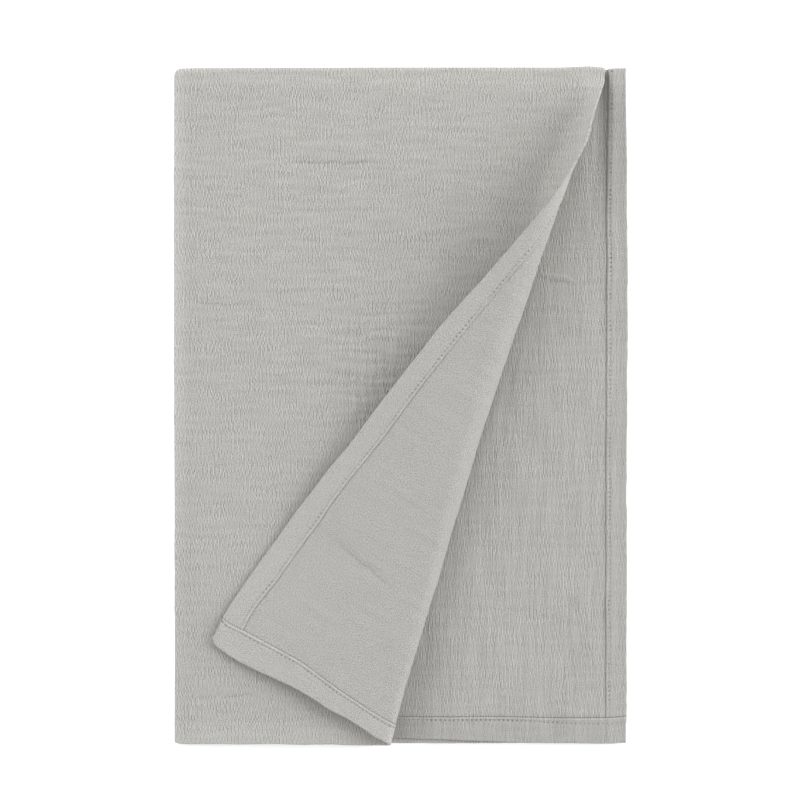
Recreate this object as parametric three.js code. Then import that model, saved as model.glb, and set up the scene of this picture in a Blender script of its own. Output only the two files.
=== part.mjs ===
// A muslin swaddle blanket: one oblong sheet of crinkled double gauze, hemmed on all four sides.
// It is folded in half along its length with the right side out, then in half again over the top
// edge, so it lies in four layers. The free corner of the top layer is turned back across it.
//
// Millimetres. X runs across the folded blanket, Y up its length to the top fold, and Z up from the
// surface that it lies on. The origin is on that surface, under the middle of the folded blanket.

import * as THREE from 'three';

const FOLDED_WIDTH = 400;
const FOLDED_LENGTH = 600;

// The cloth. A hem is the edge turned in and sewn on the wrong side, so it thickens that side.
const CLOTH = 1.0;
const HEM = 0.7;
const HEM_STEP = 1.2;

// The two panels on either side of the long fold. The upper one, outermost, is a little narrower.
const UPPER = { width: 381.4, sideHem: 20.5, endHem: 23 };
const LOWER = { width: 400, sideHem: 17.8, endHem: 21 };

// Spacing of the panels from right side to right side, and the gap left inside the top fold.
const PANEL_SPACING = 3.8;
const TOP_GAP = 0.4;
const PANEL_TURN = PANEL_SPACING / 2;
const TOP_TURN = TOP_GAP / 2 + PANEL_SPACING;
const STACK = 2 * TOP_TURN;

// Half of the cloth taken up by each turn, measured along the middle of the cloth.
const LONG_FOLD_HALF = (Math.PI / 2) * (PANEL_TURN - CLOTH / 2);
const TOP_FOLD_HALF = (Math.PI / 2) * (TOP_TURN / 2);

const LEFT = -FOLDED_WIDTH / 2;
const BOTTOM = -FOLDED_LENGTH / 2;
const TOP_AXIS = FOLDED_LENGTH / 2 - TOP_TURN;
const BACK_SHORTER = 0.8;
const FRONT = TOP_AXIS - BOTTOM + TOP_FOLD_HALF;
const BACK = FRONT - BACK_SHORTER;
const UPPER_EDGE = UPPER.width - PANEL_TURN + LONG_FOLD_HALF;
const LOWER_EDGE = LOWER.width - PANEL_TURN + LONG_FOLD_HALF;

// How far the top fold stands above its straight line: the outer panel's fold and the inner one's.
const TOP_LINE = [
  { x: -200, upper: -3.4, lower: -3.4 },
  { x: -197, upper: -1.2, lower: -0.6 },
  { x: -191, upper: -0.1, lower: 1.2 },
  { x: 0, upper: 0, lower: 1.3 },
  { x: 140, upper: 0.4, lower: 1.3 },
  { x: 168, upper: 1.4, lower: 1 },
  { x: 181.4, upper: 0.4, lower: 0.8 },
  { x: 185, upper: 0.4, lower: 1.5 },
  { x: 200, upper: 0.4, lower: 2.2 },
];

// How far each front panel's bottom edge lies above the straight line. Right of the middle, the
// upper panel's is the end of the corner that is turned back.
const BOTTOM_LINE = [
  { x: -200, upper: 3.4, lower: 3.4 },
  { x: -197.4, upper: 0.4, lower: 2 },
  { x: -190, upper: 0, lower: 1.5 },
  { x: -60, upper: 0, lower: 4.5 },
  { x: -5, upper: 0, lower: 5.7 },
  { x: 8, upper: -2.6, lower: 5.2 },
  { x: 18, upper: -1.6, lower: 4.8 },
  { x: 40, upper: 2, lower: 4.3 },
  { x: 62, upper: 1.2, lower: 3.1 },
  { x: 90, upper: 0, lower: 1.9 },
  { x: 133, upper: -1.9, lower: 0.7 },
  { x: 165, upper: -2, lower: 0.5 },
  { x: 176, upper: -1.2, lower: 0.4 },
  { x: 181.4, upper: 2.2, lower: 0.4 },
  { x: 187, upper: 2.2, lower: 0.35 },
  { x: 196, upper: 2.2, lower: 1.7 },
  { x: 200, upper: 2.2, lower: 3.7 },
];

// How far the lower panel's right edge lies outside its straight line.
const RIGHT_LINE = [
  { y: -300, out: 0.1 },
  { y: -262, out: 0.7 },
  { y: -60, out: 0.4 },
  { y: 90, out: 0.3 },
  { y: 155, out: 0.8 },
  { y: 222, out: 0.8 },
  { y: 300, out: -0.2 },
];
const BOTTOM_LINE_REACH = 45;
const RIGHT_LINE_REACH = 40;

// The stack is loftiest inside its folds, and it swells softly and unevenly, as shares of its height.
const LOFT = { share: 0.18, fromLongFold: 16, fromTopFold: 13 };
const SWELLS = [
  { share: 0.035, across: 310, along: 240, phase: 0.4 },
  { share: 0.03, across: -190, along: 330, phase: 2.1 },
  { share: 0.025, across: 900, along: 128, phase: 4.0 },
];

// Past the upper panel's edge the lower one has nothing under it, and sinks to the surface.
const SINK = { from: 182.5, over: 14, depth: 1.7 };

// The corner turned back. Its crease starts at the top of the upper panel's free edge and runs down
// at this angle to it. Each row is a station down the crease: how far inside the crease's straight
// line the cloth leaves the layer below, the radius it turns with, how far its free part sinks from
// the height of the turn by the time it reaches the free edge, and how far that edge wanders out.
const CREASE_ANGLE = THREE.MathUtils.degToRad(14.86);
const CREASE_TOP = { x: LEFT + UPPER.width, y: FOLDED_LENGTH / 2 - 2 };
const CREASE = [
  { down: 0, inset: 0, radius: 25.7, droop: 0, wander: 0 },
  { down: 18, inset: 18.4, radius: 25.7, droop: 0, wander: 0 },
  { down: 39, inset: 24.7, radius: 25.7, droop: 0, wander: 0 },
  { down: 64, inset: 26.1, radius: 25.7, droop: 0, wander: 0 },
  { down: 105, inset: 30.8, radius: 25.2, droop: 1, wander: 0 },
  { down: 157, inset: 31.8, radius: 22.8, droop: 8, wander: 1.5 },
  { down: 206, inset: 32.7, radius: 20, droop: 12, wander: 1.2 },
  { down: 358, inset: 38.5, radius: 15, droop: 17, wander: 0 },
  { down: 477, inset: 37.2, radius: 10.4, droop: 13.6, wander: 3 },
  { down: 535, inset: 36.5, radius: 8, droop: 11.6, wander: 7.5 },
  { down: 578, inset: 35.9, radius: 6.3, droop: 10, wander: 0 },
  { down: 625, inset: 35.2, radius: 5.3, droop: 8, wander: 0 },
];
const DROOP_POWER = 1.5;

// A smooth curve through a table's rows, level past both ends.
function curveThrough(rows, at, value) {
  const slopes = rows.slice(1).map((row, i) => {
    return (row[value] - rows[i][value]) / (row[at] - rows[i][at]);
  });
  const tangents = rows.map((row, i) => {
    const before = slopes[i - 1] ?? 0;
    const after = slopes[i] ?? 0;
    return before * after <= 0 ? 0 : (2 * before * after) / (before + after);
  });
  return (position) => {
    const x = THREE.MathUtils.clamp(position, rows[0][at], rows[rows.length - 1][at]);
    const i = Math.min(rows.findLastIndex((row) => row[at] <= x), slopes.length - 1);
    const span = rows[i + 1][at] - rows[i][at];
    const f = (x - rows[i][at]) / span;
    const rise = rows[i + 1][value] - rows[i][value];
    const ease = f * f * (3 - 2 * f);
    const lead = f * (1 - f) * ((1 - f) * tangents[i] - f * tangents[i + 1]);
    return rows[i][value] + rise * ease + span * lead;
  };
}

const topOfUpper = curveThrough(TOP_LINE, 'x', 'upper');
const topOfLower = curveThrough(TOP_LINE, 'x', 'lower');
const bottomOfUpper = curveThrough(BOTTOM_LINE, 'x', 'upper');
const bottomOfLower = curveThrough(BOTTOM_LINE, 'x', 'lower');
const rightOfLower = curveThrough(RIGHT_LINE, 'y', 'out');
const creaseInset = curveThrough(CREASE, 'down', 'inset');
const creaseRadius = curveThrough(CREASE, 'down', 'radius');
const creaseDroop = curveThrough(CREASE, 'down', 'droop');
const creaseWander = curveThrough(CREASE, 'down', 'wander');
const { smoothstep, lerp } = THREE.MathUtils;

// The stack's height at a place, as a multiple of its height at the folds.
function loft(x, y) {
  const inside = smoothstep(x, LEFT, LEFT + LOFT.fromLongFold);
  const below = smoothstep(TOP_AXIS - y, 0, LOFT.fromTopFold);
  const swell = SWELLS.reduce((sum, wave) => {
    const turn = 2 * Math.PI * (x / wave.across + y / wave.along) + wave.phase;
    return sum + wave.share * (0.5 + 0.5 * Math.cos(turn));
  }, 0);
  return 1 + (LOFT.share + swell) * inside * below;
}

// The crease's own axes: down along it, and out across it to the right.
function creaseFrame(x, y) {
  const dx = x - CREASE_TOP.x;
  const dy = y - CREASE_TOP.y;
  return {
    down: -dx * Math.sin(CREASE_ANGLE) - dy * Math.cos(CREASE_ANGLE),
    out: dx * Math.cos(CREASE_ANGLE) - dy * Math.sin(CREASE_ANGLE),
  };
}

// Turns a point of the upper front panel back over the crease, at a depth under its right side.
function turnBack(x, y, depth) {
  const { down, out } = creaseFrame(x, y);
  const inset = creaseInset(down);
  const past = out + inset;
  if (past <= 0) {
    return new THREE.Vector3(x, y, (STACK - depth) * loft(x, y));
  }
  const radius = creaseRadius(down);
  const angle = Math.min(past / radius, Math.PI);
  const straight = Math.max(past - Math.PI * radius, 0);
  const inner = radius - CLOTH / 2;
  const crest = (Math.PI / 2) * radius;
  const reach = Math.max(inset + down * Math.tan(CREASE_ANGLE), crest + 1);
  const free = Math.max(past - crest, 0) / (reach - crest);
  const newOut = (inner + depth) * Math.sin(angle) - straight - inset - creaseWander(down) * free ** 2;
  const droop = creaseDroop(down) * free ** DROOP_POWER;
  const landedX = CREASE_TOP.x - down * Math.sin(CREASE_ANGLE) + newOut * Math.cos(CREASE_ANGLE);
  const landedY = CREASE_TOP.y - down * Math.cos(CREASE_ANGLE) - newOut * Math.sin(CREASE_ANGLE);
  const base = loft(landedX, landedY);
  const height = STACK * base + inner * (1 - Math.cos(angle)) - depth * base * Math.cos(angle) - droop;
  return new THREE.Vector3(landedX, landedY, height);
}

// A point of the sheet. across is 0 at the long fold, positive on the upper panel and negative on
// the lower one. along is 0 at the top fold, positive in front and negative behind. depth is the
// distance under the right side.
function place(across, along, depth) {
  const upper = across > 0;
  const turn = Math.min(Math.abs(across) / LONG_FOLD_HALF, 1) * Math.sign(across) * (Math.PI / 2);
  const flat = Math.max(Math.abs(across) - LONG_FOLD_HALF, 0);
  let x = LEFT + PANEL_TURN + flat - (PANEL_TURN - depth) * Math.cos(turn);
  const height = PANEL_TURN + (PANEL_TURN - depth) * Math.sin(turn);

  const radius = TOP_GAP / 2 + height;
  const share = THREE.MathUtils.clamp(along / TOP_FOLD_HALF, -1, 1);
  const angle = (1 - share) * (Math.PI / 2);
  const hang = Math.max(Math.abs(along) - TOP_FOLD_HALF, 0);
  const inUpper = (1 + Math.sin(turn)) / 2;
  const rise = lerp(topOfLower(x), topOfUpper(x), inUpper);
  let y = TOP_AXIS + rise * (1 - smoothstep(hang, 0, BOTTOM_LINE_REACH)) - hang + radius * Math.sin(angle);
  const z = TOP_TURN + radius * Math.cos(angle);

  if (along > 0) {
    const line = lerp(bottomOfLower(x), bottomOfUpper(x), inUpper);
    y += line * smoothstep(along, FRONT - BOTTOM_LINE_REACH, FRONT);
  }
  if (!upper) {
    x += rightOfLower(y) * smoothstep(-across, LOWER_EDGE - RIGHT_LINE_REACH, LOWER_EDGE);
    const sink = SINK.depth * smoothstep(x, SINK.from, SINK.from + SINK.over);
    return new THREE.Vector3(x, y, z * loft(x, y) - sink);
  }
  if (along > TOP_FOLD_HALF) {
    return turnBack(x, y, depth);
  }
  return new THREE.Vector3(x, y, z * loft(x, y));
}

// The cloth's thickness at a place on the sheet, with its hem.
function thickness(across, along) {
  const panel = across > 0 ? UPPER : LOWER;
  const edge = across > 0 ? UPPER_EDGE : LOWER_EDGE;
  const end = along > 0 ? FRONT : BACK;
  const side = smoothstep(Math.abs(across), edge - panel.sideHem, edge - panel.sideHem + HEM_STEP);
  const foot = smoothstep(Math.abs(along), end - panel.endHem, end - panel.endHem + HEM_STEP);
  return CLOTH + HEM * Math.max(side, foot);
}

// Evenly spaced values from one value to another, without the first.
function steps(from, to, count) {
  return Array.from({ length: count }, (_, i) => lerp(from, to, (i + 1) / count));
}

// Rows of the sheet's mesh, from the back's end over the top fold to the front's end.
function rows() {
  const hem = Math.max(UPPER.endHem, LOWER.endHem);
  const backHem = -BACK + hem;
  const frontHem = FRONT - hem;
  return [
    -BACK,
    ...steps(-BACK, backHem - HEM_STEP, 2),
    backHem,
    ...steps(backHem, -TOP_FOLD_HALF - 30, 4),
    ...steps(-TOP_FOLD_HALF - 30, -TOP_FOLD_HALF, 2),
    ...steps(-TOP_FOLD_HALF, TOP_FOLD_HALF, 8),
    ...steps(TOP_FOLD_HALF, 125, 11),
    ...steps(125, 320, 9),
    ...steps(320, frontHem, 11),
    frontHem + HEM_STEP,
    ...steps(frontHem + HEM_STEP, FRONT, 3),
  ];
}

// Columns of the mesh for one row. In front, those of the upper panel follow the turned corner:
// the flat cloth up to the crease, the turn itself, and the free cloth as far as the hem.
function columns(along) {
  const lowerHem = LOWER_EDGE - LOWER.sideHem;
  const upperHem = UPPER_EDGE - UPPER.sideHem;
  const turnSteps = 10;
  const freeSteps = 5;
  const closest = 1.2;
  const y = TOP_AXIS - Math.max(along - TOP_FOLD_HALF, 0);
  const flatX = (across) => LEFT + PANEL_TURN + across - LONG_FOLD_HALF;
  const pastCrease = (across) => {
    const { down, out } = creaseFrame(flatX(across), y);
    return out + creaseInset(down);
  };
  const lastTurn = upperHem - closest * freeSteps;
  let crease = upperHem - closest * (freeSteps + turnSteps);
  while (pastCrease(crease) > 0) {
    crease -= 0.25;
  }
  const { down } = creaseFrame(flatX(crease), y);
  const turned = crease + (Math.PI * creaseRadius(down)) / Math.cos(CREASE_ANGLE);
  const endOfTurn = along > 0 ? Math.min(turned, lastTurn) : lastTurn;
  return [
    -LOWER_EDGE,
    -(LOWER_EDGE + lowerHem + HEM_STEP) / 2,
    -lowerHem - HEM_STEP,
    -lowerHem,
    ...steps(-lowerHem, -LONG_FOLD_HALF - 12, 7),
    -LONG_FOLD_HALF,
    ...steps(-LONG_FOLD_HALF, LONG_FOLD_HALF, 6),
    LONG_FOLD_HALF + 12,
    ...steps(LONG_FOLD_HALF + 12, crease, 8),
    ...steps(crease, endOfTurn, turnSteps),
    ...steps(endOfTurn, upperHem, freeSteps),
    upperHem + HEM_STEP,
    ...steps(upperHem + HEM_STEP, UPPER_EDGE, 4),
  ];
}

// The sheet as one closed body: its right side, its wrong side and the rim between them.
function sheetGeometry() {
  const grid = rows().map((along) => columns(along).map((across) => ({
    right: place(across, along, 0),
    wrong: place(across, along, thickness(across, along)),
  })));
  const width = grid[0].length;
  const length = grid.length;
  const points = [];
  for (const side of ['right', 'wrong']) {
    for (const row of grid) {
      for (const node of row) {
        points.push(node[side].x, node[side].y, node[side].z);
      }
    }
  }

  const right = (j, i) => j * width + i;
  const wrong = (j, i) => width * length + j * width + i;
  const triangles = [];
  for (let j = 0; j < length - 1; j += 1) {
    for (let i = 0; i < width - 1; i += 1) {
      const rising = grid[j][i].right.distanceTo(grid[j + 1][i + 1].right);
      const falling = grid[j + 1][i].right.distanceTo(grid[j][i + 1].right);
      const corners = [[j, i], [j + 1, i], [j + 1, i + 1], [j, i + 1]];
      const [a, b, c, d] = rising < falling ? corners : [...corners.slice(1), corners[0]];
      triangles.push(right(...a), right(...b), right(...c), right(...a), right(...c), right(...d));
      triangles.push(wrong(...a), wrong(...c), wrong(...b), wrong(...a), wrong(...d), wrong(...c));
    }
  }

  const rim = [];
  for (let i = 0; i < width - 1; i += 1) {
    rim.push([[0, i], [0, i + 1]], [[length - 1, i + 1], [length - 1, i]]);
  }
  for (let j = 0; j < length - 1; j += 1) {
    rim.push([[j + 1, 0], [j, 0]], [[j, width - 1], [j + 1, width - 1]]);
  }
  for (const [from, to] of rim) {
    triangles.push(right(...from), right(...to), wrong(...to));
    triangles.push(right(...from), wrong(...to), wrong(...from));
  }

  const geometry = new THREE.BufferGeometry();
  geometry.setAttribute('position', new THREE.Float32BufferAttribute(points, 3));
  geometry.setIndex(triangles);
  return geometry;
}

const muslin = new THREE.MeshStandardMaterial({ color: 0xb8b6b1, roughness: 0.95, metalness: 0 });

const geometry = sheetGeometry();
geometry.computeBoundingBox();
const { min, max } = geometry.boundingBox;
geometry.translate(-(min.x + max.x) / 2, -(min.y + max.y) / 2, -min.z);
geometry.computeVertexNormals();

const cloth = new THREE.Mesh(geometry, muslin);
cloth.name = 'muslin_cloth';

const blanket = new THREE.Group();
blanket.add(cloth);

export default blanket;
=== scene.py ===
# A muslin swaddle blanket of crinkled double gauze, hemmed all round, folded into four layers and
# lying flat, with the free corner of its top layer turned back across it.
import math

import bpy
import numpy as np
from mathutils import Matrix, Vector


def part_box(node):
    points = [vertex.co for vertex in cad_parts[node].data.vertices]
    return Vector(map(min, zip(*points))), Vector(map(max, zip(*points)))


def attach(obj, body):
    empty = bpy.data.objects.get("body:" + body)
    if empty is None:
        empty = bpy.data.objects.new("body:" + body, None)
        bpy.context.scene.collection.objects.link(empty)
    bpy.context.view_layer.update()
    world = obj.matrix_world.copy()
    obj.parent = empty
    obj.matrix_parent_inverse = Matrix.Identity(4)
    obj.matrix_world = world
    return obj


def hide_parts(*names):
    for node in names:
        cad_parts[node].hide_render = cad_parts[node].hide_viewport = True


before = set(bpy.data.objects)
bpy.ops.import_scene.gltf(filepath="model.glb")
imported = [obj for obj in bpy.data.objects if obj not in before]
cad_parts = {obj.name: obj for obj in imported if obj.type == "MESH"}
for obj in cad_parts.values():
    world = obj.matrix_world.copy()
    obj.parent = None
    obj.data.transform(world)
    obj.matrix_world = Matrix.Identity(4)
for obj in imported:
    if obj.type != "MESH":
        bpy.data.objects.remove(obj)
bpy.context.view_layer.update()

MM = 0.001

# The cloth's sizes in millimetres. X runs across the folded blanket, Y up to its top fold, Z up.
FOLDED_WIDTH = 400
FOLDED_LENGTH = 600
CLOTH = 1.0
HEM = 0.75
HEM_STEP = 0.8
UPPER = {"width": 381.4, "side_hem": 21.1, "end_hem": 23}
LOWER = {"width": 400, "side_hem": 17.8, "end_hem": 21}
PANEL_SPACING = 3.8
TOP_GAP = 0.4
BACK_SHORTER = 0.8

# What follows from them: the two turns, the stack, and the sheet's four edges from its folds.
PANEL_TURN = PANEL_SPACING / 2
TOP_TURN = TOP_GAP / 2 + PANEL_SPACING
STACK = 2 * TOP_TURN
LONG_FOLD_HALF = math.pi / 2 * (PANEL_TURN - CLOTH / 2)
TOP_FOLD_HALF = math.pi / 2 * (TOP_TURN / 2)
LEFT = -FOLDED_WIDTH / 2
BOTTOM = -FOLDED_LENGTH / 2
TOP_AXIS = FOLDED_LENGTH / 2 - TOP_TURN
FRONT = TOP_AXIS - BOTTOM + TOP_FOLD_HALF
BACK = FRONT - BACK_SHORTER
UPPER_EDGE = UPPER["width"] - PANEL_TURN + LONG_FOLD_HALF
LOWER_EDGE = LOWER["width"] - PANEL_TURN + LONG_FOLD_HALF

# How far the top fold stands above its straight line, by X: the upper panel's and the lower one's.
UPPER_TOP = {-200: -3.4, -197: -1.2, -191: -0.1, -120: 0.2, 10: 0.6, 140: 0.6, 168: 1.6,
             181.4: 0.6, 185: 0.6, 200: 0.6}
LOWER_TOP = {-200: -3.4, -197: -0.6, -191: 1.2, -120: 1.4, 10: 1.5, 140: 1.5, 168: 1.2, 181.4: 1,
             185: 1.6, 200: 2.2}

# How far each front panel's bottom edge lies above the straight line, by X on the flat panel. Right
# of the middle, the upper panel's is the end of the corner that is turned back.
UPPER_BOTTOM = {-200: 3.4, -197.4: 0.4, -190: 0.1, -100: -0.2, -60: -0.6, -30: -1.1, -5: -0.8,
                8: -1.9, 18: -1.1, 40: 0, 57: -1.3, 72: 0.2, 90: 0.4, 112: -1.2, 133: -3.1,
                150: -4, 165: -3.5, 176: -2.1, 181.4: 1.6, 187: 2.2, 196: 2.2, 200: 2.2}
LOWER_BOTTOM = {-200: 3.4, -197.4: 2, -190: 1.5, -100: 3.5, -60: 4.5, -30: 5.2, -5: 5.2, 8: 4.7,
                18: 4.3, 40: 3.8, 57: 3, 72: 2.6, 90: 2, 112: 1.3, 133: 0.7, 150: 0.6, 165: 0.5,
                176: 0.4, 181.4: 0.4, 187: 0.5, 196: 1.8, 200: 3.7}

# How far the lower panel's right edge lies outside its straight line, by Y.
RIGHT_LINE = {-300: 0.3, -262: 0.9, -181: 0.5, -137: 1, -60: 0.8, -4: 1.2, 41: 1.6, 90: 1.5,
              130: 1.9, 174: 1.1, 222: 1, 300: 0}

# How far the long fold lies outside its straight line, by Y.
LEFT_LINE = {-300: 0.4, -180: 0.3, -60: 0.6, 20: 1, 150: 1.1, 300: 0.8}

# How far into the cloth the uneven top and bottom lines reach, and the uneven side lines.
BOTTOM_LINE_REACH = 45
SIDE_LINE_REACH = 40

# The stack is loftiest inside its folds, and swells softly and unevenly, as shares of its height.
LOFT = {"share": 0.18, "from_long_fold": 16, "from_top_fold": 13}
SWELLS = [
    {"share": 0.035, "across": 310, "along": 240, "phase": 0.4},
    {"share": 0.03, "across": -190, "along": 330, "phase": 2.1},
    {"share": 0.025, "across": 900, "along": 128, "phase": 4.0},
]

# Past the upper panel's edge the lower one has nothing under it, and sinks to the surface.
SINK = {"start": 182.5, "over": 14, "depth": 1.7}

# The corner turned back: its crease's angle to the free edge, the crease's top, and stations down
# it. inset is how far inside the crease's straight line the cloth leaves the layer below, and droop
# how far its free part sinks by the free edge.
CREASE_ANGLE = math.radians(14.86)
CREASE_TOP = {"x": LEFT + UPPER["width"], "y": FOLDED_LENGTH / 2 - 2}
CREASE = [
    {"down": 0, "inset": 0, "radius": 25.7, "droop": 0},
    {"down": 18, "inset": 19.6, "radius": 25.7, "droop": 0},
    {"down": 39, "inset": 26, "radius": 25.7, "droop": 0},
    {"down": 64, "inset": 27.4, "radius": 25.7, "droop": 0},
    {"down": 105, "inset": 32.6, "radius": 25.2, "droop": 1},
    {"down": 157, "inset": 34, "radius": 22.8, "droop": 8},
    {"down": 206, "inset": 34.7, "radius": 20, "droop": 12},
    {"down": 358, "inset": 39.3, "radius": 15, "droop": 18.6},
    {"down": 433, "inset": 38.9, "radius": 12.2, "droop": 18.8},
    {"down": 477, "inset": 38.1, "radius": 10.4, "droop": 18},
    {"down": 535, "inset": 37.9, "radius": 8, "droop": 13.5},
    {"down": 578, "inset": 37.6, "radius": 6.3, "droop": 10.3},
    {"down": 625, "inset": 36.9, "radius": 5.3, "droop": 8.2},
]
DROOP_POWER = 1.5

# How far the corner's free edge strays outwards, by stations down the crease.
WANDER = {60: -1.5, 107: -4.5, 147: -5.3, 190: -5, 207: -4.7, 228: -2.5, 250: -1.3, 294: -1.5,
          370: -1, 399: 1.5, 433: 3.5, 468: 4.7, 495: 5.1, 520: 4.2, 545: 3.5, 573: -0.5,
          600: -0.9}

# How much wider than its own size each front hem is, by Y for a side hem and by X for an end hem.
# The stitches of the lower end hem also stray from its folded edge, by X.
UPPER_SIDE_HEM = {-276: -1, -255: -1.4, -222: 0.5, -186: 0, -168: 0.5, -140: -0.7, -100: -0.3,
                  -60: 0.6, -20: 0}
LOWER_SIDE_HEM = {150: 0, 190: -0.3, 235: -0.9, 262: -1.7, 300: -2.1}
UPPER_END_HEM = {-60: -3, 8: -6, 30: -6.6, 42: -5.8, 55: -4.3, 76: -3.1, 93: -1.4, 106: 0.1,
                 146: 0.6, 163: 0, 172: -1.2, 181.4: -2.1}
LOWER_END_HEM = {-10: 0, 40: 1, 97: 2, 130: 1.9, 170: 1.8, 200: 1.8}
END_SEAM_STRAY = {-10: 0, 40: 0, 97: 0.2, 130: 0.8, 170: 2.2, 200: 2.3}

# How far past a front end hem its unevenness still moves the rows of the mesh.
HEM_REACH = 22

# Beside the lower side hem the stack dips into a valley, deepest at the top fold, and right of the
# turned corner into a trough, deepest at the bottom. Shares are of the stack's height.
VALLEY = {"inside_hem": 2.6, "width": 3.8, "top": 290, "bottom": 120, "share": 0.68}
TROUGH = {"start": 440, "full": 600, "share": 0.4, "near": 8, "flat": 14, "far": 52}

# The creases that stand out, by their place on the flat front panel. Each is a soft ridge, or a
# trough where its rise is negative, as seen from the side of the cloth that shows.
CREASES = {
    "upper": [
        {"x": -61, "y": 216, "length": 104, "width": 1.3, "rise": -0.5, "turn": 0},
        {"x": -156, "y": 90, "length": 66, "width": 1.2, "rise": -0.35, "turn": -2},
        {"x": -107, "y": 171, "length": 26, "width": 1.2, "rise": -0.3, "turn": 1},
        {"x": -62, "y": 227, "length": 34, "width": 1.2, "rise": -0.3, "turn": -3},
        {"x": -30, "y": 140, "length": 92, "width": 1.8, "rise": -0.2, "turn": 2},
        {"x": -95, "y": 22, "length": 104, "width": 1.7, "rise": -0.2, "turn": 1},
        {"x": -144, "y": -258, "length": 34, "width": 1.2, "rise": -0.35, "turn": 3},
    ],
    "corner": [
        {"x": 101, "y": -178, "length": 74, "width": 1.3, "rise": -0.5, "turn": 9},
        {"x": 141, "y": -171, "length": 48, "width": 1.8, "rise": -0.25, "turn": 10},
    ],
    "lower": [
        {"x": 139, "y": -189, "length": 92, "width": 3.4, "rise": -0.3, "turn": -12},
        {"x": 154, "y": -176, "length": 18, "width": 3.6, "rise": -1, "turn": -70},
        {"x": 101, "y": 21, "length": 74, "width": 2.6, "rise": -0.6, "turn": 79},
        {"x": 86, "y": -15, "length": 60, "width": 2.6, "rise": 0.4, "turn": 80},
        {"x": 113, "y": 84, "length": 46, "width": 2.4, "rise": -0.5, "turn": 84},
        {"x": 181, "y": -182, "length": 30, "width": 2.5, "rise": -0.5, "turn": 88},
        {"x": 106, "y": -211, "length": 38, "width": 2, "rise": -0.3, "turn": 0},
        {"x": 141, "y": 115, "length": 46, "width": 1.3, "rise": 0.4, "turn": -14},
        {"x": 138, "y": 111, "length": 42, "width": 1.5, "rise": -0.4, "turn": -13},
    ],
}
PLACED_CREASES = [(panel, crease) for panel in CREASES for crease in CREASES[panel]]

# The sewing. The line of stitches runs this far inside the hem's folded edge, and starts this far
# from the sheet's edge or its end hem. A stitch's size varies between two shares of its own.
SEAM_INSIDE = 2.8
SIDE_SEAM_START = 2.0
END_SEAM_START = 2.5
STITCH_PITCH = 4.0
STITCH = {"length": 2.7, "width": 0.6, "rise": 0.4, "smallest": 0.82, "largest": 1.08}

# What sewing and pressing do to the cloth's thickness: a furrow under the stitches, a lip along a
# hem's folded edge, the cloth pressed thin outside it, and more cloth where two front hems cross.
FURROW = {"width": 0.8, "depth": 0.3}
HEM_LINES = [
    {"inside": 1.2, "width": 0.7, "rise": 0.12},
    {"inside": -0.9, "width": 0.7, "rise": -0.14},
]
CROSSING = {"reach": 40, "rise": 0.4}
HEM_WOBBLE = 0.25

# The modelled crinkle, in soft forms with these pitches across and along. Bend makes a form's lines
# waver. Each rises this far on the upper panel and on the lower one, which lies right side down, so
# that its crinkle only lifts, by this much more. Hems hold this share of it flat.
CRINKLE = [
    {"across": 34, "along": 3.6, "bend": 0.4, "seed": 4, "upper": 0.26, "lower": 0.14},
    {"across": 13, "along": 17, "bend": 0, "seed": 5, "upper": 0.2, "lower": 0.16},
    {"across": 55, "along": 24, "bend": 0, "seed": 6, "upper": 0.3, "lower": 0.22},
    {"across": 9, "along": 60, "bend": 0, "seed": 7, "upper": 0, "lower": 0.26},
]
LOWER_LIFT = 0.35
HEM_CALM = 0.7

# The cloth's colour, how far its tone may go to either side of it, and its fixed finish. The relief
# painted on it is a share of its colour, painted shade in its furrows and painted light on its ridges,
# and raises its bump too.
MUSLIN = (0.468, 0.450, 0.420)
TONE_SPAN = 0.42
MUSLIN_FINISH = {"Roughness": 0.92, "Specular IOR Level": 0.15, "Sheen Weight": 0.08, "Sheen Roughness": 0.6}
THREAD = {"dark": (0.39, 0.385, 0.365), "light": (0.53, 0.525, 0.505)}
THREAD_FINISH = {"Roughness": 0.7}

# The painted crinkle, painted shade in its furrows and painted light on its ridges: the pitch of its
# ribs and of its faint rows, how far both sway, how long a rib runs before it breaks on the right and
# on the wrong side, and how strongly each part shows.
RIB_PITCH = 2.5
RIB_DRIFT = 1.1
ROW_PITCH = 9
ROW_SWAY = 1.6
DASH = (4.6, 8.0)
RELIEF = {"ribs": 0.24, "lower_ribs": 0.19, "corner_ribs": 0.05, "hem_share": 0.6, "rows": 0.018,
          "waffle_and_shade": 0.05, "ripples": 0.16, "lower_ripples": 0.064, "streaks": 0.22, "yarn": 0.8,
          "corner_yarn": 1.9}

# The soft random patterns behind it, each with its grain across and along the cloth.
PATTERNS = {
    "rib_drift": {"across": 36, "along": 70, "offset": 3.1},
    "rib_breaks": {"across": 5.2, "along": 1.0, "offset": 7.7},
    "patches": {"across": 20, "along": 16, "offset": 5.9},
    "row_sway": {"across": 40, "along": 22, "offset": 14.2},
    "column_sway": {"across": 22, "along": 40, "offset": 14.2},
    "ripples": {"across": 30, "along": 4.2, "offset": 12.3, "detail": 1.5},
    "streaks": {"across": 4.4, "along": 60, "offset": 9.1},
    "yarn": {"across": 0.8, "along": 0.9, "offset": 1.7},
    "crease_sway": {"across": 16, "along": 90, "offset": 4.4},
    "sewing": {"across": 20, "along": 20, "offset": 2.2},
}

# The levels that a pattern's values from low to high are spread over.
LEVELS = {"rib_breaks": (0.36, 0.64, -1, 1), "patches": (0.3, 0.7, 0.6, 1.4),
          "sewing": (0.4, 0.62, 0.35, 1.1)}

# Where the crinkle is deepest and forms a waffle, on the flat upper panel, and where painted shade
# darkens the upper panel beside the turned corner's free edge.
WAFFLE = {"x": -22, "y": 22, "wide": 60, "long": 90}

# How a painted crease sways, how much wider it is than the modelled one, and how strong. A painted
# crease is painted shade along a trough and painted light along a ridge.
CREASE_SWAY = 5.0
CREASE_SPREAD = 1.6
CREASE_TONE = 0.4
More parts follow.
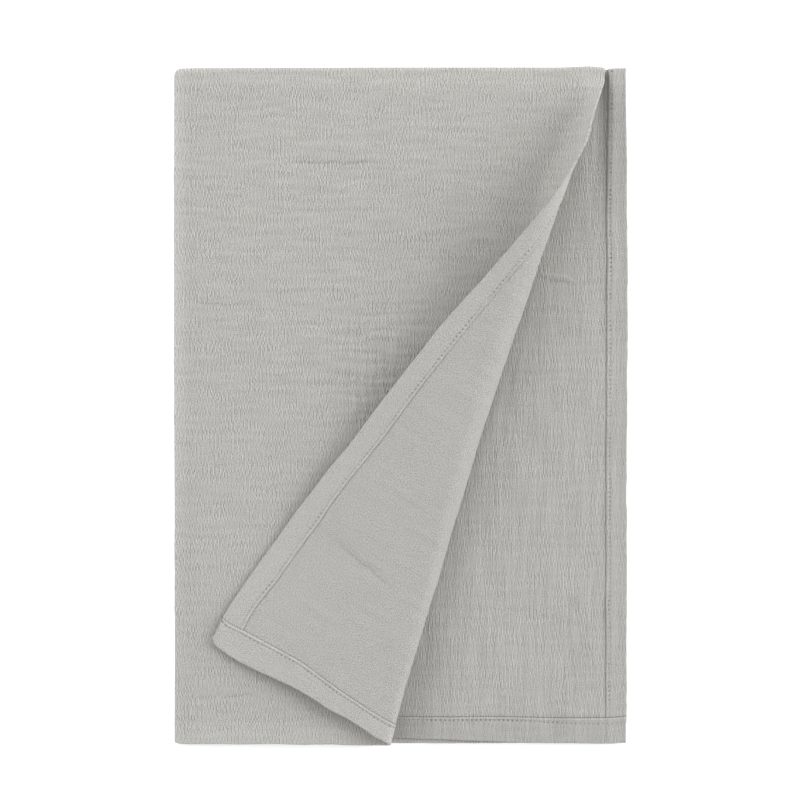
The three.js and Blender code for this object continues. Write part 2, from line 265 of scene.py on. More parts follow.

# How much lighter or darker parts of the cloth are: painted light on the turned corner, which tilts
# away from the lamps, the lower panel, painted shade on the round of the corner's crease and in
# hollows, hems, the painted shade and highlight along a hem's folded edge on the lower panel and on
# the corner, a needle hole's share, and how wide the long fold is lit.
TONES = {"corner": 0.16, "lower": -0.04, "round_turn": -0.1, "hollow": -0.28, "upper_hem": 0.06,
         "lower_hem": -0.03}
HEM_SHADE = (-0.4, -0.45)
HEM_SHINE = 0.12
HOLE_TONE = 0.2
LIT_FOLD = 17.0

# How looks change over the cloth: from one place to another, down it or across it, and between which
# strengths.
FADES = {"ripples": (200, 440, 1.25, 0.7), "long_fold": (250, 520, 0.2, 0.08), "holes": (80, 300, 1.1, 0.75),
         "corner_side_hem": (190, 370, 0.93, 0), "corner_end_hem": (250, 310, 0.8, 0)}

# The photograph's frame: its width on the blanket, and where its middle lies.
VIEW_WIDTH = 709.6
VIEW_X = -0.44
VIEW_Y = 5.3
CAMERA_HEIGHT = 5000

# The floor's finish, a plain white that lies just under the cloth.
FLOOR_FINISH = {"Base Color": (0.93, 0.93, 0.93, 1), "Roughness": 0.95, "Specular IOR Level": 0.0,
                "Emission Color": (1, 1, 1, 1), "Emission Strength": 0.35}

# The light: the tent's strength, the side lamps' energy, spread, lean from upright and bearing, and
# the top lamp's power, size and place in metres.
LIGHT_COLOUR = (0.975, 1.0, 1.02)
DOME = 0.6
SIDE_LAMPS = {
    "left_lamp": {"energy": 1.05, "spread": 50, "lean": 60, "bearing": 160},
    "right_lamp": {"energy": 2.2, "spread": 40, "lean": 70, "bearing": 10},
}
TOP_LAMP = {"power": 6.6, "size": 1.2, "y": 1.4, "z": 1.4}


# Shape of the folded cloth

def smooth(x, low, high):
    f = np.clip((x - low) / (high - low), 0, 1)
    return f * f * (3 - 2 * f)


def curve_through(table):
    """A smooth curve through a table's values, level past both ends."""
    xs = np.array(list(table), float)
    ys = np.array(list(table.values()), float)
    slopes = np.diff(ys) / np.diff(xs)
    before = np.concatenate([[0], slopes])
    after = np.concatenate([slopes, [0]])
    total = np.where(before * after > 0, before + after, 1)
    tangents = np.where(before * after > 0, 2 * before * after / total, 0)

    def curve(position):
        x = np.clip(position, xs[0], xs[-1])
        i = np.clip(np.searchsorted(xs, x, side="right") - 1, 0, len(slopes) - 1)
        span = xs[i + 1] - xs[i]
        f = (x - xs[i]) / span
        lead = f * (1 - f) * ((1 - f) * tangents[i] - f * tangents[i + 1])
        return ys[i] + (ys[i + 1] - ys[i]) * f * f * (3 - 2 * f) + span * lead
    return curve


top_of_upper = curve_through(UPPER_TOP)
top_of_lower = curve_through(LOWER_TOP)
bottom_of_upper = curve_through(UPPER_BOTTOM)
bottom_of_lower = curve_through(LOWER_BOTTOM)
right_of_lower = curve_through(RIGHT_LINE)
left_of_fold = curve_through(LEFT_LINE)
crease_inset = curve_through({row["down"]: row["inset"] for row in CREASE})
crease_radius = curve_through({row["down"]: row["radius"] for row in CREASE})
crease_droop = curve_through({row["down"]: row["droop"] for row in CREASE})
free_edge_out = curve_through(WANDER)
wider_upper_side = curve_through(UPPER_SIDE_HEM)
wider_lower_side = curve_through(LOWER_SIDE_HEM)
wider_upper_end = curve_through(UPPER_END_HEM)
wider_lower_end = curve_through(LOWER_END_HEM)
stray_lower_end = curve_through(END_SEAM_STRAY)


def soft_noise(u, v, seed):
    """Smooth random heights from -1 to 1, one unit of u and v from one to the next."""
    size = 101
    heights = np.random.default_rng(seed).uniform(-1, 1, (size, size))
    iu = np.floor(u).astype(int)
    iv = np.floor(v).astype(int)
    fu = u - iu
    fv = v - iv
    fu = fu * fu * (3 - 2 * fu)
    fv = fv * fv * (3 - 2 * fv)
    near = heights[iu % size, iv % size] * (1 - fu) + heights[(iu + 1) % size, iv % size] * fu
    far = heights[iu % size, (iv + 1) % size] * (1 - fu)
    far = far + heights[(iu + 1) % size, (iv + 1) % size] * fu
    return near * (1 - fv) + far * fv


def loft(x, y):
    """The stack's height at a place, as a multiple of its height at the folds."""
    inside = smooth(x, LEFT, LEFT + LOFT["from_long_fold"])
    below = smooth(TOP_AXIS - y, 0, LOFT["from_top_fold"])
    swell = 0
    for wave in SWELLS:
        turn = 2 * math.pi * (x / wave["across"] + y / wave["along"]) + wave["phase"]
        swell = swell + wave["share"] * (0.5 + 0.5 * np.cos(turn))
    return 1 + (LOFT["share"] + swell) * inside * below


def crease_frame(x, y):
    """How far down the corner's crease a place is, and how far outside its straight line."""
    dx = x - CREASE_TOP["x"]
    dy = y - CREASE_TOP["y"]
    down = -dx * math.sin(CREASE_ANGLE) - dy * math.cos(CREASE_ANGLE)
    out = dx * math.cos(CREASE_ANGLE) - dy * math.sin(CREASE_ANGLE)
    return down, out


def valley(x, y):
    """The share of the stack's height lost beside the lower panel's hem and the turned corner."""
    middle = LEFT + LOWER["width"] - LOWER["side_hem"] - wider_lower_side(y) - VALLEY["inside_hem"]
    fade = smooth(y, VALLEY["bottom"], VALLEY["top"]) * smooth(TOP_AXIS - y, -2, 6)
    off = (x - middle) / np.where(x < middle, 2.4 * VALLEY["width"], VALLEY["width"])
    beside_hem = VALLEY["share"] * fade * np.exp(-off ** 2)
    down, out = crease_frame(x, y)
    past = out + crease_inset(down)
    reach = smooth(past, 0, TROUGH["near"]) * (1 - smooth(past, TROUGH["flat"], TROUGH["far"]))
    return beside_hem + TROUGH["share"] * smooth(down, TROUGH["start"], TROUGH["full"]) * reach


def turn_back(x, y, depth):
    """Turns points of the upper front panel back over the crease."""
    down, out = crease_frame(x, y)
    inset = crease_inset(down)
    past = np.maximum(out + inset, 0)
    radius = crease_radius(down)
    angle = np.minimum(past / radius, math.pi)
    straight = np.maximum(past - math.pi * radius, 0)
    inner = radius - CLOTH / 2
    crest = math.pi / 2 * radius
    reach = np.maximum(inset + down * math.tan(CREASE_ANGLE), crest + 1)
    free = np.maximum(past - crest, 0) / (reach - crest)
    new_out = (inner + depth) * np.sin(angle) - straight - inset - free_edge_out(down) * free ** 2
    droop = crease_droop(down) * free ** DROOP_POWER
    turned = out + inset > 0
    landed_x = CREASE_TOP["x"] - down * math.sin(CREASE_ANGLE) + new_out * math.cos(CREASE_ANGLE)
    landed_y = CREASE_TOP["y"] - down * math.cos(CREASE_ANGLE) - new_out * math.sin(CREASE_ANGLE)
    new_x = np.where(turned, landed_x, x)
    new_y = np.where(turned, landed_y, y)
    base = loft(new_x, new_y)
    height = STACK * base + inner * (1 - np.cos(angle)) - depth * base * np.cos(angle) - droop
    return new_x, new_y, height


def place(across, along, depth):
    """Points of the sheet in millimetres: across from the long fold (positive on the upper panel),
    along from the top fold (positive in front), at a depth under the cloth's right side."""
    share = np.clip(across / LONG_FOLD_HALF, -1, 1)
    turn = share * math.pi / 2
    flat = np.maximum(np.abs(across) - LONG_FOLD_HALF, 0)
    x = LEFT + PANEL_TURN + flat - (PANEL_TURN - depth) * np.cos(turn)
    height = PANEL_TURN + (PANEL_TURN - depth) * np.sin(turn)

    radius = TOP_GAP / 2 + height
    angle = (1 - np.clip(along / TOP_FOLD_HALF, -1, 1)) * math.pi / 2
    hang = np.maximum(np.abs(along) - TOP_FOLD_HALF, 0)
    in_upper = (1 + np.sin(turn)) / 2
    rise = top_of_lower(x) + (top_of_upper(x) - top_of_lower(x)) * in_upper
    y = TOP_AXIS + rise * (1 - smooth(hang, 0, BOTTOM_LINE_REACH)) - hang + radius * np.sin(angle)
    z = TOP_TURN + radius * np.cos(angle)

    line = bottom_of_lower(x) + (bottom_of_upper(x) - bottom_of_lower(x)) * in_upper
    y = y + line * smooth(along, FRONT - BOTTOM_LINE_REACH, FRONT)
    x = x - left_of_fold(y) * (1 - smooth(x, LEFT, LEFT + SIDE_LINE_REACH))
    upper = across > 0
    x_low = x + right_of_lower(y) * smooth(-across, LOWER_EDGE - SIDE_LINE_REACH, LOWER_EDGE)
    sink = SINK["depth"] * smooth(x_low, SINK["start"], SINK["start"] + SINK["over"])
    front = upper & (along > TOP_FOLD_HALF)
    turned_x, turned_y, turned_z = turn_back(x, y, depth)
    return np.stack([
        np.where(front, turned_x, np.where(upper, x, x_low)),
        np.where(front, turned_y, y),
        np.where(front, turned_z, z * loft(x, y) * (1 - valley(x, y)) - np.where(upper, 0, sink)),
    ], axis=-1)


# Hems, creases and edges

def side_hem_width(across, along):
    """A side hem's width, wider or narrower in front from place to place."""
    y = TOP_AXIS + TOP_FOLD_HALF - along
    front = smooth(along, -60, 0)
    upper = UPPER["side_hem"] + front * wider_upper_side(y)
    return np.where(across > 0, upper, LOWER["side_hem"] + front * wider_lower_side(y))


def end_hem_width(across, along):
    """An end hem's width, wider or narrower in front from place to place."""
    x = LEFT + PANEL_TURN - LONG_FOLD_HALF + np.abs(across)
    in_upper = smooth(across, -60, 60)
    lower = LOWER["end_hem"] + (along > 0) * wider_lower_end(x)
    upper = UPPER["end_hem"] + (along > 0) * wider_upper_end(x)
    return lower + (upper - lower) * in_upper


def hem_insets(across, along):
    """How far a point lies inside the folded edge of its side hem and of its end hem."""
    end = np.where(along > 0, FRONT, BACK)
    edge = np.where(across > 0, UPPER_EDGE, LOWER_EDGE)
    wobble = soft_noise(along / 34, across / 300, 11) + soft_noise(across / 30, along / 300, 12)
    wobble = HEM_WOBBLE * wobble
    side = np.abs(across) - edge + side_hem_width(across, along) + wobble
    foot = np.abs(along) - end + end_hem_width(across, along) + wobble
    return side, foot


def end_seam_inside(across, along):
    """How far the end hem's stitches run inside its folded edge."""
    x = LEFT + PANEL_TURN - LONG_FOLD_HALF + np.abs(across)
    return SEAM_INSIDE + np.where((across < 0) & (along > 0), stray_lower_end(x), 0)


def edge_distance(across, along):
    """How far a point lies inside the sheet's side edge and its end edge."""
    side = np.where(across > 0, UPPER_EDGE, LOWER_EDGE) - np.abs(across)
    foot = np.where(along > 0, FRONT, BACK) - np.abs(along)
    return side, foot


def thickness(across, along):
    """The cloth with its hems: a step at the folded edge, and a furrow along the stitches."""
    side, foot = hem_insets(across, along)
    step = np.maximum(smooth(side, 0, HEM_STEP), smooth(foot, 0, HEM_STEP))
    under = smooth(side, 0, HEM_STEP) * smooth(foot, 0, HEM_STEP)
    near_corner = (along > 0) & (np.abs(across) > UPPER_EDGE - CROSSING["reach"])
    total = CLOTH + HEM * step + np.where(near_corner, CROSSING["rise"], 0) * under
    side_seam = np.exp(-((side - SEAM_INSIDE) / FURROW["width"]) ** 2) * (foot < 0)
    foot_seam = np.exp(-((foot - end_seam_inside(across, along)) / FURROW["width"]) ** 2)
    total = total - FURROW["depth"] * (side_seam + foot_seam)
    for line in HEM_LINES:
        at_side = np.exp(-((side - line["inside"]) / line["width"]) ** 2) * (foot < 0)
        at_foot = np.exp(-((foot - line["inside"]) / line["width"]) ** 2)
        total = total + line["rise"] * (at_side + at_foot)
    return total


def flat_place(panel, middle):
    """A middle on the flat sheet: across and along, and the side of the long fold it is on."""
    sign = -1 if panel == "lower" else 1
    across = sign * (middle["x"] - LEFT - PANEL_TURN + LONG_FOLD_HALF)
    return across, TOP_AXIS + TOP_FOLD_HALF - middle["y"], sign


def crease_height(across, along):
    """The listed creases, as a rise on the cloth's right side."""
    total = np.zeros_like(across)
    for panel, crease in PLACED_CREASES:
        middle_across, middle_along, sign = flat_place(panel, crease)
        turn = math.radians(crease["turn"])
        dx = sign * (across - middle_across)
        dy = middle_along - along
        run = dx * math.cos(turn) + dy * math.sin(turn)
        off = dy * math.cos(turn) - dx * math.sin(turn)
        fade = 1 - smooth(np.abs(run), 0.25 * crease["length"], 0.55 * crease["length"])
        shown = 1 if panel == "upper" else -1
        total = total + shown * crease["rise"] * fade * np.exp(-(off / crease["width"]) ** 2)
    return total


def relief(across, along):
    """How far the crinkled cloth stands out on its right side, in millimetres."""
    side, foot = hem_insets(across, along)
    calm = 1 - HEM_CALM * np.maximum(smooth(side, -2, 1), smooth(foot, -2, 1))
    waver = soft_noise(across / 15, along / 30, 3)
    upper = 0
    lower = 0
    for form in CRINKLE:
        bent = across / form["across"] + form["bend"] * waver
        height = soft_noise(bent, along / form["along"], form["seed"])
        upper = upper + form["upper"] * height
        lower = lower + form["lower"] * height
    lower = np.minimum(lower - LOWER_LIFT, 0)
    blend = smooth(across, -LONG_FOLD_HALF - 8, LONG_FOLD_HALF + 8)
    total = lower + (upper - lower) * blend + crease_height(across, along)
    return smooth(along, 0, 25) * total * calm


def frayed(across, along):
    """Across and along, with the small unevenness of the sheet's edges."""
    side, foot = edge_distance(across, along)
    side_share = 1 - smooth(side, 0, 9)
    foot_share = 1 - smooth(foot, 0, 9)
    shift = 0.25 * soft_noise(along / 7, across / 200, 21) + 0.3 * soft_noise(along / 21, across / 200, 22)
    drop = 0.2 * soft_noise(across / 6, along / 200, 23) + 0.25 * soft_noise(across / 23, along / 200, 24)
    return across + np.sign(across) * shift * side_share, along + np.sign(along) * drop * foot_share


def surface(across, along, wrong):
    """The cloth's right or wrong side, with its relief and its rounded edges."""
    total = thickness(across, along)
    half = total / 2
    nearest = np.minimum(*edge_distance(across, along))
    inside = np.clip(half - nearest, 0, half)
    round_off = np.minimum(half - np.sqrt(np.maximum(half ** 2 - inside ** 2, 0)), 0.8 * half)
    depth = np.where(wrong, total - round_off, round_off) - relief(across, along)
    return place(*frayed(across, along), depth)


# Mesh of the cloth

def add_object(name, data):
    made = bpy.data.objects.new(name, data)
    bpy.context.scene.collection.objects.link(made)
    return made


def steps(start, stop, count):
    """Evenly spaced values from one value to another, without the first."""
    return list(start + (stop - start) * (np.arange(count) + 1) / count)


# Distances around a hem, from its folded edge inwards and from the sheet's edge.
HEM_STATIONS = [-2.6, -1.3, -0.6, 0, 0.4, 0.9, 1.6, 2.3, 3, 3.7, 4.6]
EDGE_STATIONS = [3.6, 1.7, 0.9, 0.45, 0.15, 0]
FRONT_ROWS = 240

# The mesh's columns between one part of the sheet and the next, and the closest they may lie.
COLUMNS = {"hem": 4, "lower": 26, "lower_by_fold": 5, "fold": 8, "upper": 34, "turn": 16, "free": 18}
CLOSEST = 0.8


def rows_along():
    """Rows from the sheet's hidden end over the top fold to its front end, closest at hems and folds."""
    hems = sorted({panel["end_hem"] - s for s in HEM_STATIONS for panel in (LOWER, UPPER)})
    front_hem = [FRONT - d for d in reversed(hems)]
    back = [-BACK + d for d in reversed(EDGE_STATIONS)] + steps(-BACK + EDGE_STATIONS[0], -BACK + 19, 3)
    back += [-BACK + 20, -BACK + 21, -BACK + 21.8, -BACK + 23, -BACK + 23.8]
    back += steps(-BACK + 23.8, -TOP_FOLD_HALF - 30, 11) + steps(-TOP_FOLD_HALF - 30, -TOP_FOLD_HALF, 5)
    fold = steps(-TOP_FOLD_HALF, TOP_FOLD_HALF, 14)
    front = steps(TOP_FOLD_HALF, front_hem[0], FRONT_ROWS)[:-1] + front_hem
    return back + fold + front + steps(front_hem[-1], FRONT - EDGE_STATIONS[0], 5) + [
        FRONT - d for d in EDGE_STATIONS[1:]]


def columns_across(along):
    """Columns for one row. In front, the upper panel's follow the turned corner."""
    lower_hem = LOWER_EDGE - float(side_hem_width(-1, along))
    upper_hem = UPPER_EDGE - float(side_hem_width(1, along))
    y = TOP_AXIS - max(along - TOP_FOLD_HALF, 0)
    first = upper_hem + HEM_STATIONS[0]
    flat = np.arange(first - CLOSEST * (COLUMNS["free"] + COLUMNS["turn"]), LONG_FOLD_HALF, -0.1)
    down, out = crease_frame(LEFT + PANEL_TURN + flat - LONG_FOLD_HALF, y)
    crease = flat[np.argmax(out + crease_inset(down) <= 0)]
    down = float(crease_frame(LEFT + PANEL_TURN + crease - LONG_FOLD_HALF, y)[0])
    last = first - CLOSEST * COLUMNS["free"]
    turned = crease + math.pi * float(crease_radius(down)) / math.cos(CREASE_ANGLE)
    end_of_turn = min(turned, last) if along > 0 else last
    lower = [-LOWER_EDGE + d for d in reversed(EDGE_STATIONS)]
    lower += steps(lower[-1], -lower_hem - HEM_STATIONS[-1], COLUMNS["hem"])
    lower += [-lower_hem - s for s in reversed(HEM_STATIONS[:-1])]
    lower += steps(lower[-1], -LOWER_EDGE + 205, COLUMNS["lower"])
    lower += steps(lower[-1], -LONG_FOLD_HALF - 10, COLUMNS["lower_by_fold"])
    spine = [-LONG_FOLD_HALF - 3, -LONG_FOLD_HALF]
    spine += steps(-LONG_FOLD_HALF, LONG_FOLD_HALF, COLUMNS["fold"])
    upper = [LONG_FOLD_HALF + 2, LONG_FOLD_HALF + 5, LONG_FOLD_HALF + 9, LONG_FOLD_HALF + 14]
    upper += steps(upper[-1], crease, COLUMNS["upper"]) + steps(crease, end_of_turn, COLUMNS["turn"])
    upper += steps(end_of_turn, first, COLUMNS["free"]) + [upper_hem + s for s in HEM_STATIONS[1:]]
    upper += steps(upper[-1], UPPER_EDGE - EDGE_STATIONS[0], COLUMNS["hem"])
    return lower + spine + upper + [UPPER_EDGE - d for d in EDGE_STATIONS[1:]]


def blanket_shift():
    """From the outline's own middle to the frame's, where the solid cloth lies."""
    low, _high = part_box("muslin_cloth")
    return np.array([low[0] / MM - LEFT, low[1] / MM - BOTTOM, 0])


SHIFT = blanket_shift()


def follow_end_hem(across, along):
    """Moves the rows near the front end hem so that they run along its folded edge."""
    usual = LOWER["end_hem"] + (UPPER["end_hem"] - LOWER["end_hem"]) * smooth(across, -60, 60)
    from_end = FRONT - along
    outside = smooth(from_end, 0, usual - HEM_STATIONS[-1])
    inside = 1 - smooth(from_end, usual - HEM_STATIONS[0], usual + HEM_REACH)
    return along - (end_hem_width(across, along) - usual) * outside * inside * (along > 0)


def build_cloth():
    """The whole sheet, its right side and its wrong side joined round the edge. Its attributes say
    where a point lies, for the material."""
    along = rows_along()
    across = np.array([columns_across(a) for a in along])
    along = follow_end_hem(across, np.repeat(np.array(along)[:, None], across.shape[1], axis=1))
    rows, columns = across.shape
    right = surface(across, along, False)
    wrong = surface(across, along, True)
    points = np.concatenate([right.reshape(-1, 3), wrong.reshape(-1, 3)]) + SHIFT
    points[:, 2] = np.maximum(points[:, 2], 0)

    index = np.arange(rows * columns).reshape(rows, columns)
    a, b = index[:-1, :-1].ravel(), index[1:, :-1].ravel()
    c, d = index[1:, 1:].ravel(), index[:-1, 1:].ravel()
    over = rows * columns
    quads = [np.stack([a, b, c, d], 1), np.stack([a, d, c, b], 1) + over]
    edge = [(index[0, :-1], index[0, 1:]), (index[-1, 1:], index[-1, :-1]),
            (index[1:, 0], index[:-1, 0]), (index[:-1, -1], index[1:, -1])]
    for near, far in edge:
        quads.append(np.stack([near, far, far + over, near + over], 1))
    mesh = bpy.data.meshes.new("muslin_blanket")
    mesh.from_pydata((points * MM).tolist(), [], np.concatenate(quads).tolist())

    flat = np.stack([across.ravel(), along.ravel()], 1) * MM
    flat = np.concatenate([flat, flat])
    loops = np.empty(len(mesh.loops), int)
    mesh.loops.foreach_get("vertex_index", loops)
    mesh.uv_layers.new(name="flat").uv.foreach_set("vector", flat[loops].ravel())
    side, foot = hem_insets(across, along)
    x = LEFT + PANEL_TURN + np.abs(across) - LONG_FOLD_HALF
    y = TOP_AXIS + TOP_FOLD_HALF - along
    down, out = crease_frame(x, y)
    angle = np.clip((out + crease_inset(down)) / crease_radius(down), 0, math.pi)
    masks = {
        "side_hem": side,
        "end_hem": foot,
        "end_seam": foot - end_seam_inside(across, along),
        "upper_panel": smooth(across, -8, 8),
        # Where painted shade goes on the round of the turned corner's crease.
        "round_turn": (across > 0) * (along > 0) * np.sin(angle) ** 2,
        # Where painted shade goes in the lower panel's hollows.
        "hollow": (across < 0) * (along > 0) * valley(x, y),
    }
    values = {"wrong_side": np.repeat([0.0, 1.0], over)}
    values.update({name: np.tile(mask.ravel(), 2) for name, mask in masks.items()})
    for name, value in values.items():
        mesh.attributes.new(name, "FLOAT", "POINT").data.foreach_set("value", value)
    mesh.shade_smooth()
    mesh.update()
    return add_object("muslin_blanket", mesh)


# Nodes

def wire(tree):
    """A way to add a node to the tree with its settings and its inputs. An input is named, or numbered
    as in i0, and is a value or a socket to link."""
    def add(kind, settings=None, **values):
        made = tree.nodes.new(kind)
        for name, value in (settings or {}).items():
            setattr(made, name, value)
        for name, value in values.items():
            numbered = name[0] == "i" and name[1:].isdigit()
            socket = made.inputs[int(name[1:])] if numbered else made.inputs[name]
            if isinstance(value, bpy.types.NodeSocket):
                tree.links.new(value, socket)
            else:
                socket.default_value = value
        return made
    return add


def new_group(name, kind, takes, gives):
    """An empty node group. Its inputs and outputs are given as names with their kinds."""
    tree = bpy.data.node_groups.new(name, kind)
    for direction, sockets in (("INPUT", takes), ("OUTPUT", gives)):
        for socket, holds in sockets.items():
            tree.interface.new_socket(socket, in_out=direction, socket_type="NodeSocket" + holds)
    return tree


def maths(add, operation, first, second=0.0, third=0.0):
    return add("ShaderNodeMath", {"operation": operation}, i0=first, i1=second, i2=third).outputs[0]


def times(add, first, *others):
    """Two or more values multiplied."""
    for other in others:
        first = maths(add, "MULTIPLY", first, other)
    return first


def less(add, first, second):
    return maths(add, "SUBTRACT", first, second)


def plus_share(add, total, value, share):
    """A total with a share of a value added to it."""
    return maths(add, "MULTIPLY_ADD", value, share, total)


def ramp(add, value, low, high, at_low, at_high, soft=True):
    """A value that goes from one level to another as the first goes from low to high."""
    blend = {"interpolation_type": "SMOOTHSTEP" if soft else "LINEAR"}
    return add("ShaderNodeMapRange", blend, Value=value, i1=low, i2=high, i3=at_low, i4=at_high).outputs[0]


def hump(add, value, centre, half):
    """1 at the centre, falling to 0 at half a width to either side."""
    return ramp(add, maths(add, "ABSOLUTE", less(add, value, centre)), 0.0, half, 1.0, 0.0)


def attribute(add, name):
    return add("ShaderNodeAttribute", {"attribute_name": name}).outputs["Fac"]


def pattern(add, flat, name):
    """One of the soft random patterns, from 0 to 1, at a place on the flat cloth."""
    kind = PATTERNS[name]
    per_mm = (1 / kind["across"], 1 / kind["along"], 0)
    away = (kind["offset"], -kind["offset"], 0)
    grain = add("ShaderNodeVectorMath", {"operation": "MULTIPLY_ADD"}, i0=flat, i1=per_mm, i2=away)
    return add("ShaderNodeTexNoise", {"noise_dimensions": "2D"}, Vector=grain.outputs[0], Scale=1.0,
               Detail=kind.get("detail", 1.0), Roughness=0.55).outputs[0]


# Stitches

def seam_points():
    """The stitches' middles on the flat sheet, as across and along, with the way each runs."""
    runs = []
    for edge, panel, sign in ((UPPER_EDGE, UPPER, 1), (LOWER_EDGE, LOWER, -1)):
        along = np.arange(-BACK + panel["end_hem"] + SIDE_SEAM_START, FRONT - panel["end_hem"] - 1,
                          STITCH_PITCH)
        runs.append((sign * (edge - side_hem_width(sign, along) + SEAM_INSIDE), along, 0))
    across = np.arange(-LOWER_EDGE + END_SEAM_START, UPPER_EDGE - 2, STITCH_PITCH)
    for end in (FRONT, -BACK):
        inside = end_hem_width(across, end) - end_seam_inside(across, end)
        runs.append((across, end - math.copysign(1, end) * inside, 1))
    return runs


def stitch_bed():
    """A vertex for each stitch on both sides of the cloth, with its direction and its up."""
    points, ways, ups = [], [], []
    for across, along, is_foot in seam_points():
        ahead = (across + 0.5 * is_foot, along + 0.5 * (1 - is_foot))
        for wrong in (False, True):
            here = surface(across, along, wrong)
            way = surface(*ahead, wrong) - here
            flat = place(across, along, np.zeros_like(across))
            up = flat - place(across, along, np.ones_like(across))
            points.append(here)
            ways.append(way / np.linalg.norm(way, axis=1, keepdims=True))
            up = up / np.linalg.norm(up, axis=1, keepdims=True)
            ups.append(-up if wrong else up)
    mesh = bpy.data.meshes.new("stitch_bed")
    mesh.from_pydata(((np.concatenate(points) + SHIFT) * MM).tolist(), [], [])
    for name, values in (("way", ways), ("up", ups)):
        layer = mesh.attributes.new(name, "FLOAT_VECTOR", "POINT")
        layer.data.foreach_set("vector", np.concatenate(values).ravel())
    return mesh


def stitch_tree():
    """Sets one thread loop on each vertex, laid along its way and facing its up."""
    takes = {"Bed": "Geometry", "Length": "Float", "Width": "Float", "Rise": "Float", "Seed": "Int",
             "Thread": "Material"}
    tree = new_group("hem stitches", "GeometryNodeTree", takes, {"Stitches": "Geometry"})
    add = wire(tree)
    given = add("NodeGroupInput").outputs
    size = add("ShaderNodeCombineXYZ", X=given["Length"], Y=given["Width"], Z=given["Rise"])
    loop = add("GeometryNodeMeshUVSphere", Segments=7, Rings=5, Radius=0.5)
    lengthwise = add("GeometryNodeTransform", Geometry=loop.outputs["Mesh"], Rotation=(0, math.pi / 2, 0))
    lay = add("GeometryNodeTransform", Geometry=lengthwise.outputs["Geometry"], Scale=size.outputs[0])
    up, way = [
        add("GeometryNodeInputNamedAttribute", {"data_type": "FLOAT_VECTOR"}, Name=name).outputs["Attribute"]
        for name in ("up", "way")]
    upright = add("FunctionNodeAlignRotationToVector", {"axis": "Z"}, Vector=up)
    turned = add("FunctionNodeAlignRotationToVector", {"axis": "X", "pivot_axis": "Z"},
                 Rotation=upright.outputs["Rotation"], Vector=way)
    vary = add("FunctionNodeRandomValue", {"data_type": "FLOAT"}, i2=STITCH["smallest"],
               i3=STITCH["largest"], Seed=given["Seed"])
    sew = add("GeometryNodeInstanceOnPoints", Points=given["Bed"], Instance=lay.outputs["Geometry"],
              Rotation=turned.outputs["Rotation"], Scale=vary.outputs[1])
    real = add("GeometryNodeRealizeInstances", Geometry=sew.outputs["Instances"])
    dress = add("GeometryNodeSetMaterial", Geometry=real.outputs["Geometry"], Material=given["Thread"])
    add("NodeGroupOutput", Stitches=dress.outputs["Geometry"])
    return tree


def build_stitches(thread):
    bed = add_object("stitch_bed", stitch_bed())
    modifier = bed.modifiers.new("stitches", "NODES")
    modifier.node_group = stitch_tree()
    values = {"Length": STITCH["length"] * MM, "Width": STITCH["width"] * MM, "Rise": STITCH["rise"] * MM,
              "Seed": 5, "Thread": thread}
    for item in modifier.node_group.interface.items_tree:
        if item.in_out == "INPUT" and item.name in values:
            modifier[item.identifier] = values[item.name]
    ready = bed.evaluated_get(bpy.context.evaluated_depsgraph_get())
    mesh = bpy.data.meshes.new_from_object(ready)
    mesh.name = "hem_stitches"
    mesh.shade_smooth()
    stitches = add_object("hem_stitches", mesh)
    bpy.data.objects.remove(bed)
    return stitches


# Materials

def gauze_group():
    """Crinkled double gauze. Flat is the place on the cloth in millimetres. Dash is how long a rib runs
    before it breaks, and each other input is how strongly that part of the relief shows."""
    shares = ("Ribs", "Dash", "Rows", "Columns", "Ripples", "Streaks", "Yarn")
    takes = {"Flat": "Vector", **dict.fromkeys(shares, "Float")}
    tree = new_group("crinkled gauze", "ShaderNodeTree", takes, {"Relief": "Float"})
    add = wire(tree)
    given = add("NodeGroupInput").outputs
    flat = given["Flat"]
    part = add("ShaderNodeSeparateXYZ", Vector=flat).outputs
    shorter = maths(add, "DIVIDE", part[1], given["Dash"])
    dashed = add("ShaderNodeCombineXYZ", X=part[0], Y=shorter).outputs[0]
    drift = times(add, pattern(add, flat, "rib_drift"), RIB_DRIFT)
    turns = plus_share(add, drift, part[0], 1 / RIB_PITCH)
    rib = maths(add, "SINE", times(add, turns, 2 * math.pi))
    flip = ramp(add, pattern(add, dashed, "rib_breaks"), *LEVELS["rib_breaks"], soft=False)
    patches = ramp(add, pattern(add, flat, "patches"), *LEVELS["patches"], soft=False)
    relief = times(add, times(add, rib, flip, patches), given["Ribs"])
    for name, position, sway in (("Rows", part[1], "row_sway"), ("Columns", part[0], "column_sway")):
        swayed = times(add, pattern(add, flat, sway), ROW_SWAY)
        beat = plus_share(add, swayed, position, 1 / ROW_PITCH)
        band = maths(add, "SINE", times(add, beat, 2 * math.pi))
        relief = plus_share(add, relief, times(add, band, patches), given[name])
    for name, kind in (("Ripples", "ripples"), ("Streaks", "streaks"), ("Yarn", "yarn")):
        relief = plus_share(add, relief, less(add, pattern(add, flat, kind), 0.5), given[name])
    add("NodeGroupOutput", Relief=relief)
    return tree


def crease_group():
    """One crease drawn on the flat cloth. Rise is 1 along its middle and fades to its ends."""
    sizes = ("Across", "Along", "Sway", "Middle Across", "Middle Along", "Cosine", "Sine", "Length", "Width")
    tree = new_group("crease line", "ShaderNodeTree", dict.fromkeys(sizes, "Float"), {"Rise": "Float"})
    add = wire(tree)
    given = add("NodeGroupInput").outputs
    dx = less(add, given["Across"], given["Middle Across"])
    dy = less(add, given["Along"], given["Middle Along"])
    run = less(add, times(add, dx, given["Cosine"]), times(add, dy, given["Sine"]))
    off = plus_share(add, given["Sway"], dy, given["Cosine"])
    off = plus_share(add, off, dx, given["Sine"])
    near = hump(add, maths(add, "DIVIDE", off, given["Width"]), 0.0, 1.0)
    run = maths(add, "DIVIDE", maths(add, "ABSOLUTE", run), given["Length"])
    inside = ramp(add, run, 0.22, 0.52, 1.0, 0.0)
    add("NodeGroupOutput", Rise=times(add, near, inside))
    return tree


